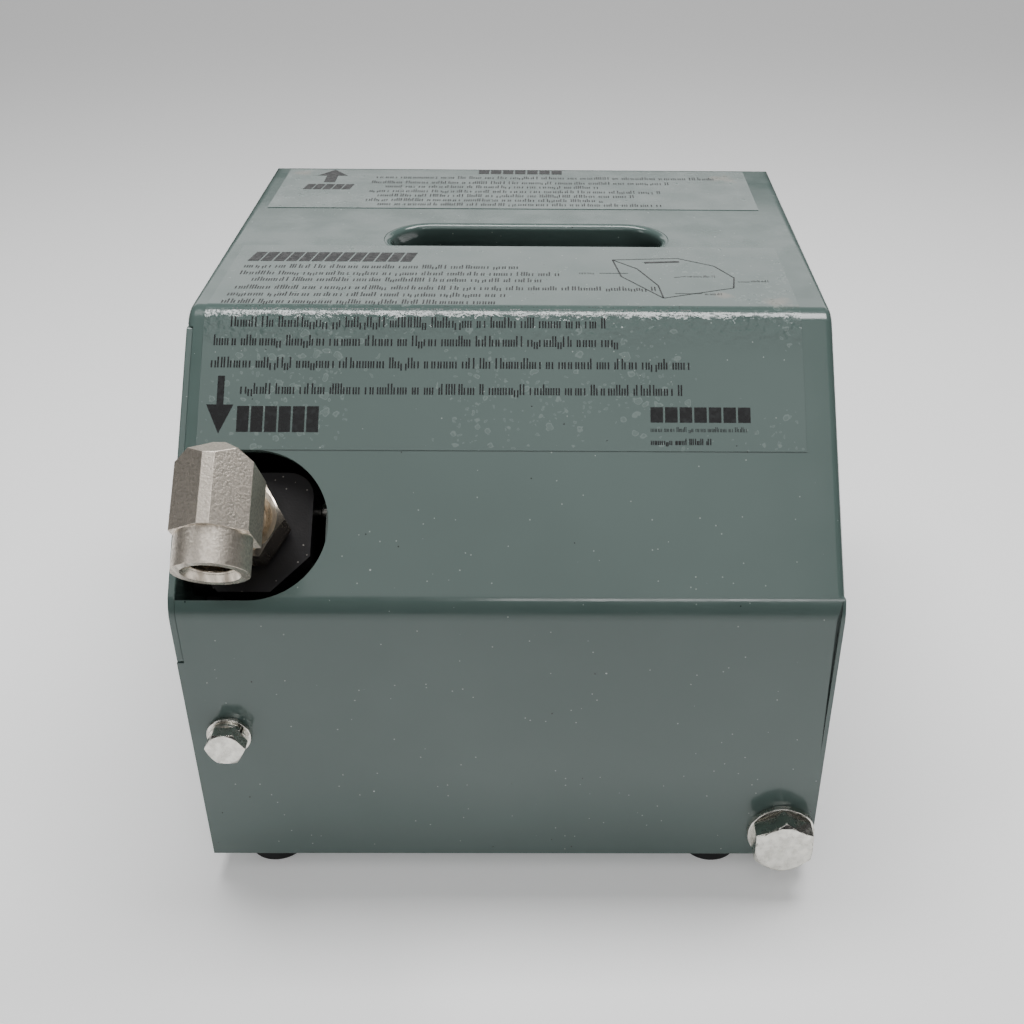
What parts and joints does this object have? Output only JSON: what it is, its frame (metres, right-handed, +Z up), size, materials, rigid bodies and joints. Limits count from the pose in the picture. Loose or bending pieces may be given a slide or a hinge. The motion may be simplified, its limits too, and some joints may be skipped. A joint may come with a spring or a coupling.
{
  "type": "foot valve",
  "caption": "Foot-operated spray valve: a powder-coated steel box on rubber feet, with a pedal inside that works an enclosed trigger gun.",
  "frame": {"origin": "middle of the bounding box on the floor plane, under the feet", "axes": "+X to the side the foot goes in by, +Y towards the inlet, +Z up"},
  "size_m": [0.18, 0.2373, 0.1582],
  "materials": {
    "powder_coat": "gloss grey-green powder coat",
    "clear_film": "clear adhesive film with print",
    "dark_steel": "zinc plated",
    "stainless": "satin stainless steel",
    "forged_steel": "shot-blasted stainless forging",
    "black_plastic": "fine-textured moulding",
    "rubber": "moulded black",
    "brass": "turned",
    "spring_steel": "drawn wire",
    "white_plastic": "natural bearing plastic"
  },
  "bodies": {
    "housing": {"housing_shell": "powder_coat", "mouth_wall": "powder_coat", "rear_panel": "powder_coat", "label_films": "clear_film", "side_plate": "powder_coat", "base_plate": "powder_coat", "gun_bracket": "powder_coat", "spring_seat": "powder_coat", "rubber_feet": "rubber", "pivot_bolt": "dark_steel", "pivot_washers": "dark_steel", "pivot_nut": "dark_steel", "side_screw": "dark_steel", "side_flat_washer": "dark_steel", "side_lock_washer": "dark_steel", "side_clinch_nut": "dark_steel", "foot_screws": "dark_steel", "foot_nuts": "dark_steel", "gun_screws": "dark_steel", "gun_fixing_screws": "dark_steel", "gun_spacers": "dark_steel", "trigger_pin": "dark_steel", "return_spring": "spring_steel", "valve_spring": "spring_steel", "gun_shell_left": "black_plastic", "gun_shell_right": "black_plastic", "packing_seals": "rubber", "valve_body": "brass", "valve_plug": "brass", "packing_nut": "brass", "valve_seat": "stainless", "outlet_tube": "stainless", "inlet_tube": "stainless", "outlet_nut": "stainless", "elbow_fitting": "forged_steel", "inlet_fitting": "stainless"},
    "pedal": {"foot_pedal": "powder_coat", "pedal_tube": "powder_coat", "pedal_bushes": "white_plastic", "pedal_tread": "rubber", "dome_screw": "dark_steel", "dome_nuts": "dark_steel", "spring_perch": "powder_coat"},
    "trigger": {"trigger": "black_plastic"},
    "push_pin": {"push_pin": "stainless", "valve_ball": "stainless"}
  },
  "joints": [
    {"name": "pedal_pivot", "type": "hinge", "parent": "housing", "child": "pedal", "pos_m": [0.08, 0.00665, 0.018], "axis": [0, -1, 0], "range_deg": [0, 6], "stiffness_Nm_per_rad": 6, "springref_deg": -20.05, "deforming": ["return_spring"]},
    {"name": "trigger_pivot", "type": "hinge", "parent": "housing", "child": "trigger", "pos_m": [-0.0705, -0.01985, 0.066], "axis": [-1, 0, 0], "range_deg": [0, 19.2]},
    {"name": "pin_slide", "type": "slide", "parent": "housing", "child": "push_pin", "axis": [0, 0, -1], "range_m": [0, 0.00385], "deforming": ["valve_spring"]}
  ],
  "couplings": [
    {"joint": "trigger_pivot", "follows": "pedal_pivot", "ratio": 3.2},
    {"joint": "pin_slide", "follows": "pedal_pivot", "m_per_rad": 0.0365}
  ]
}
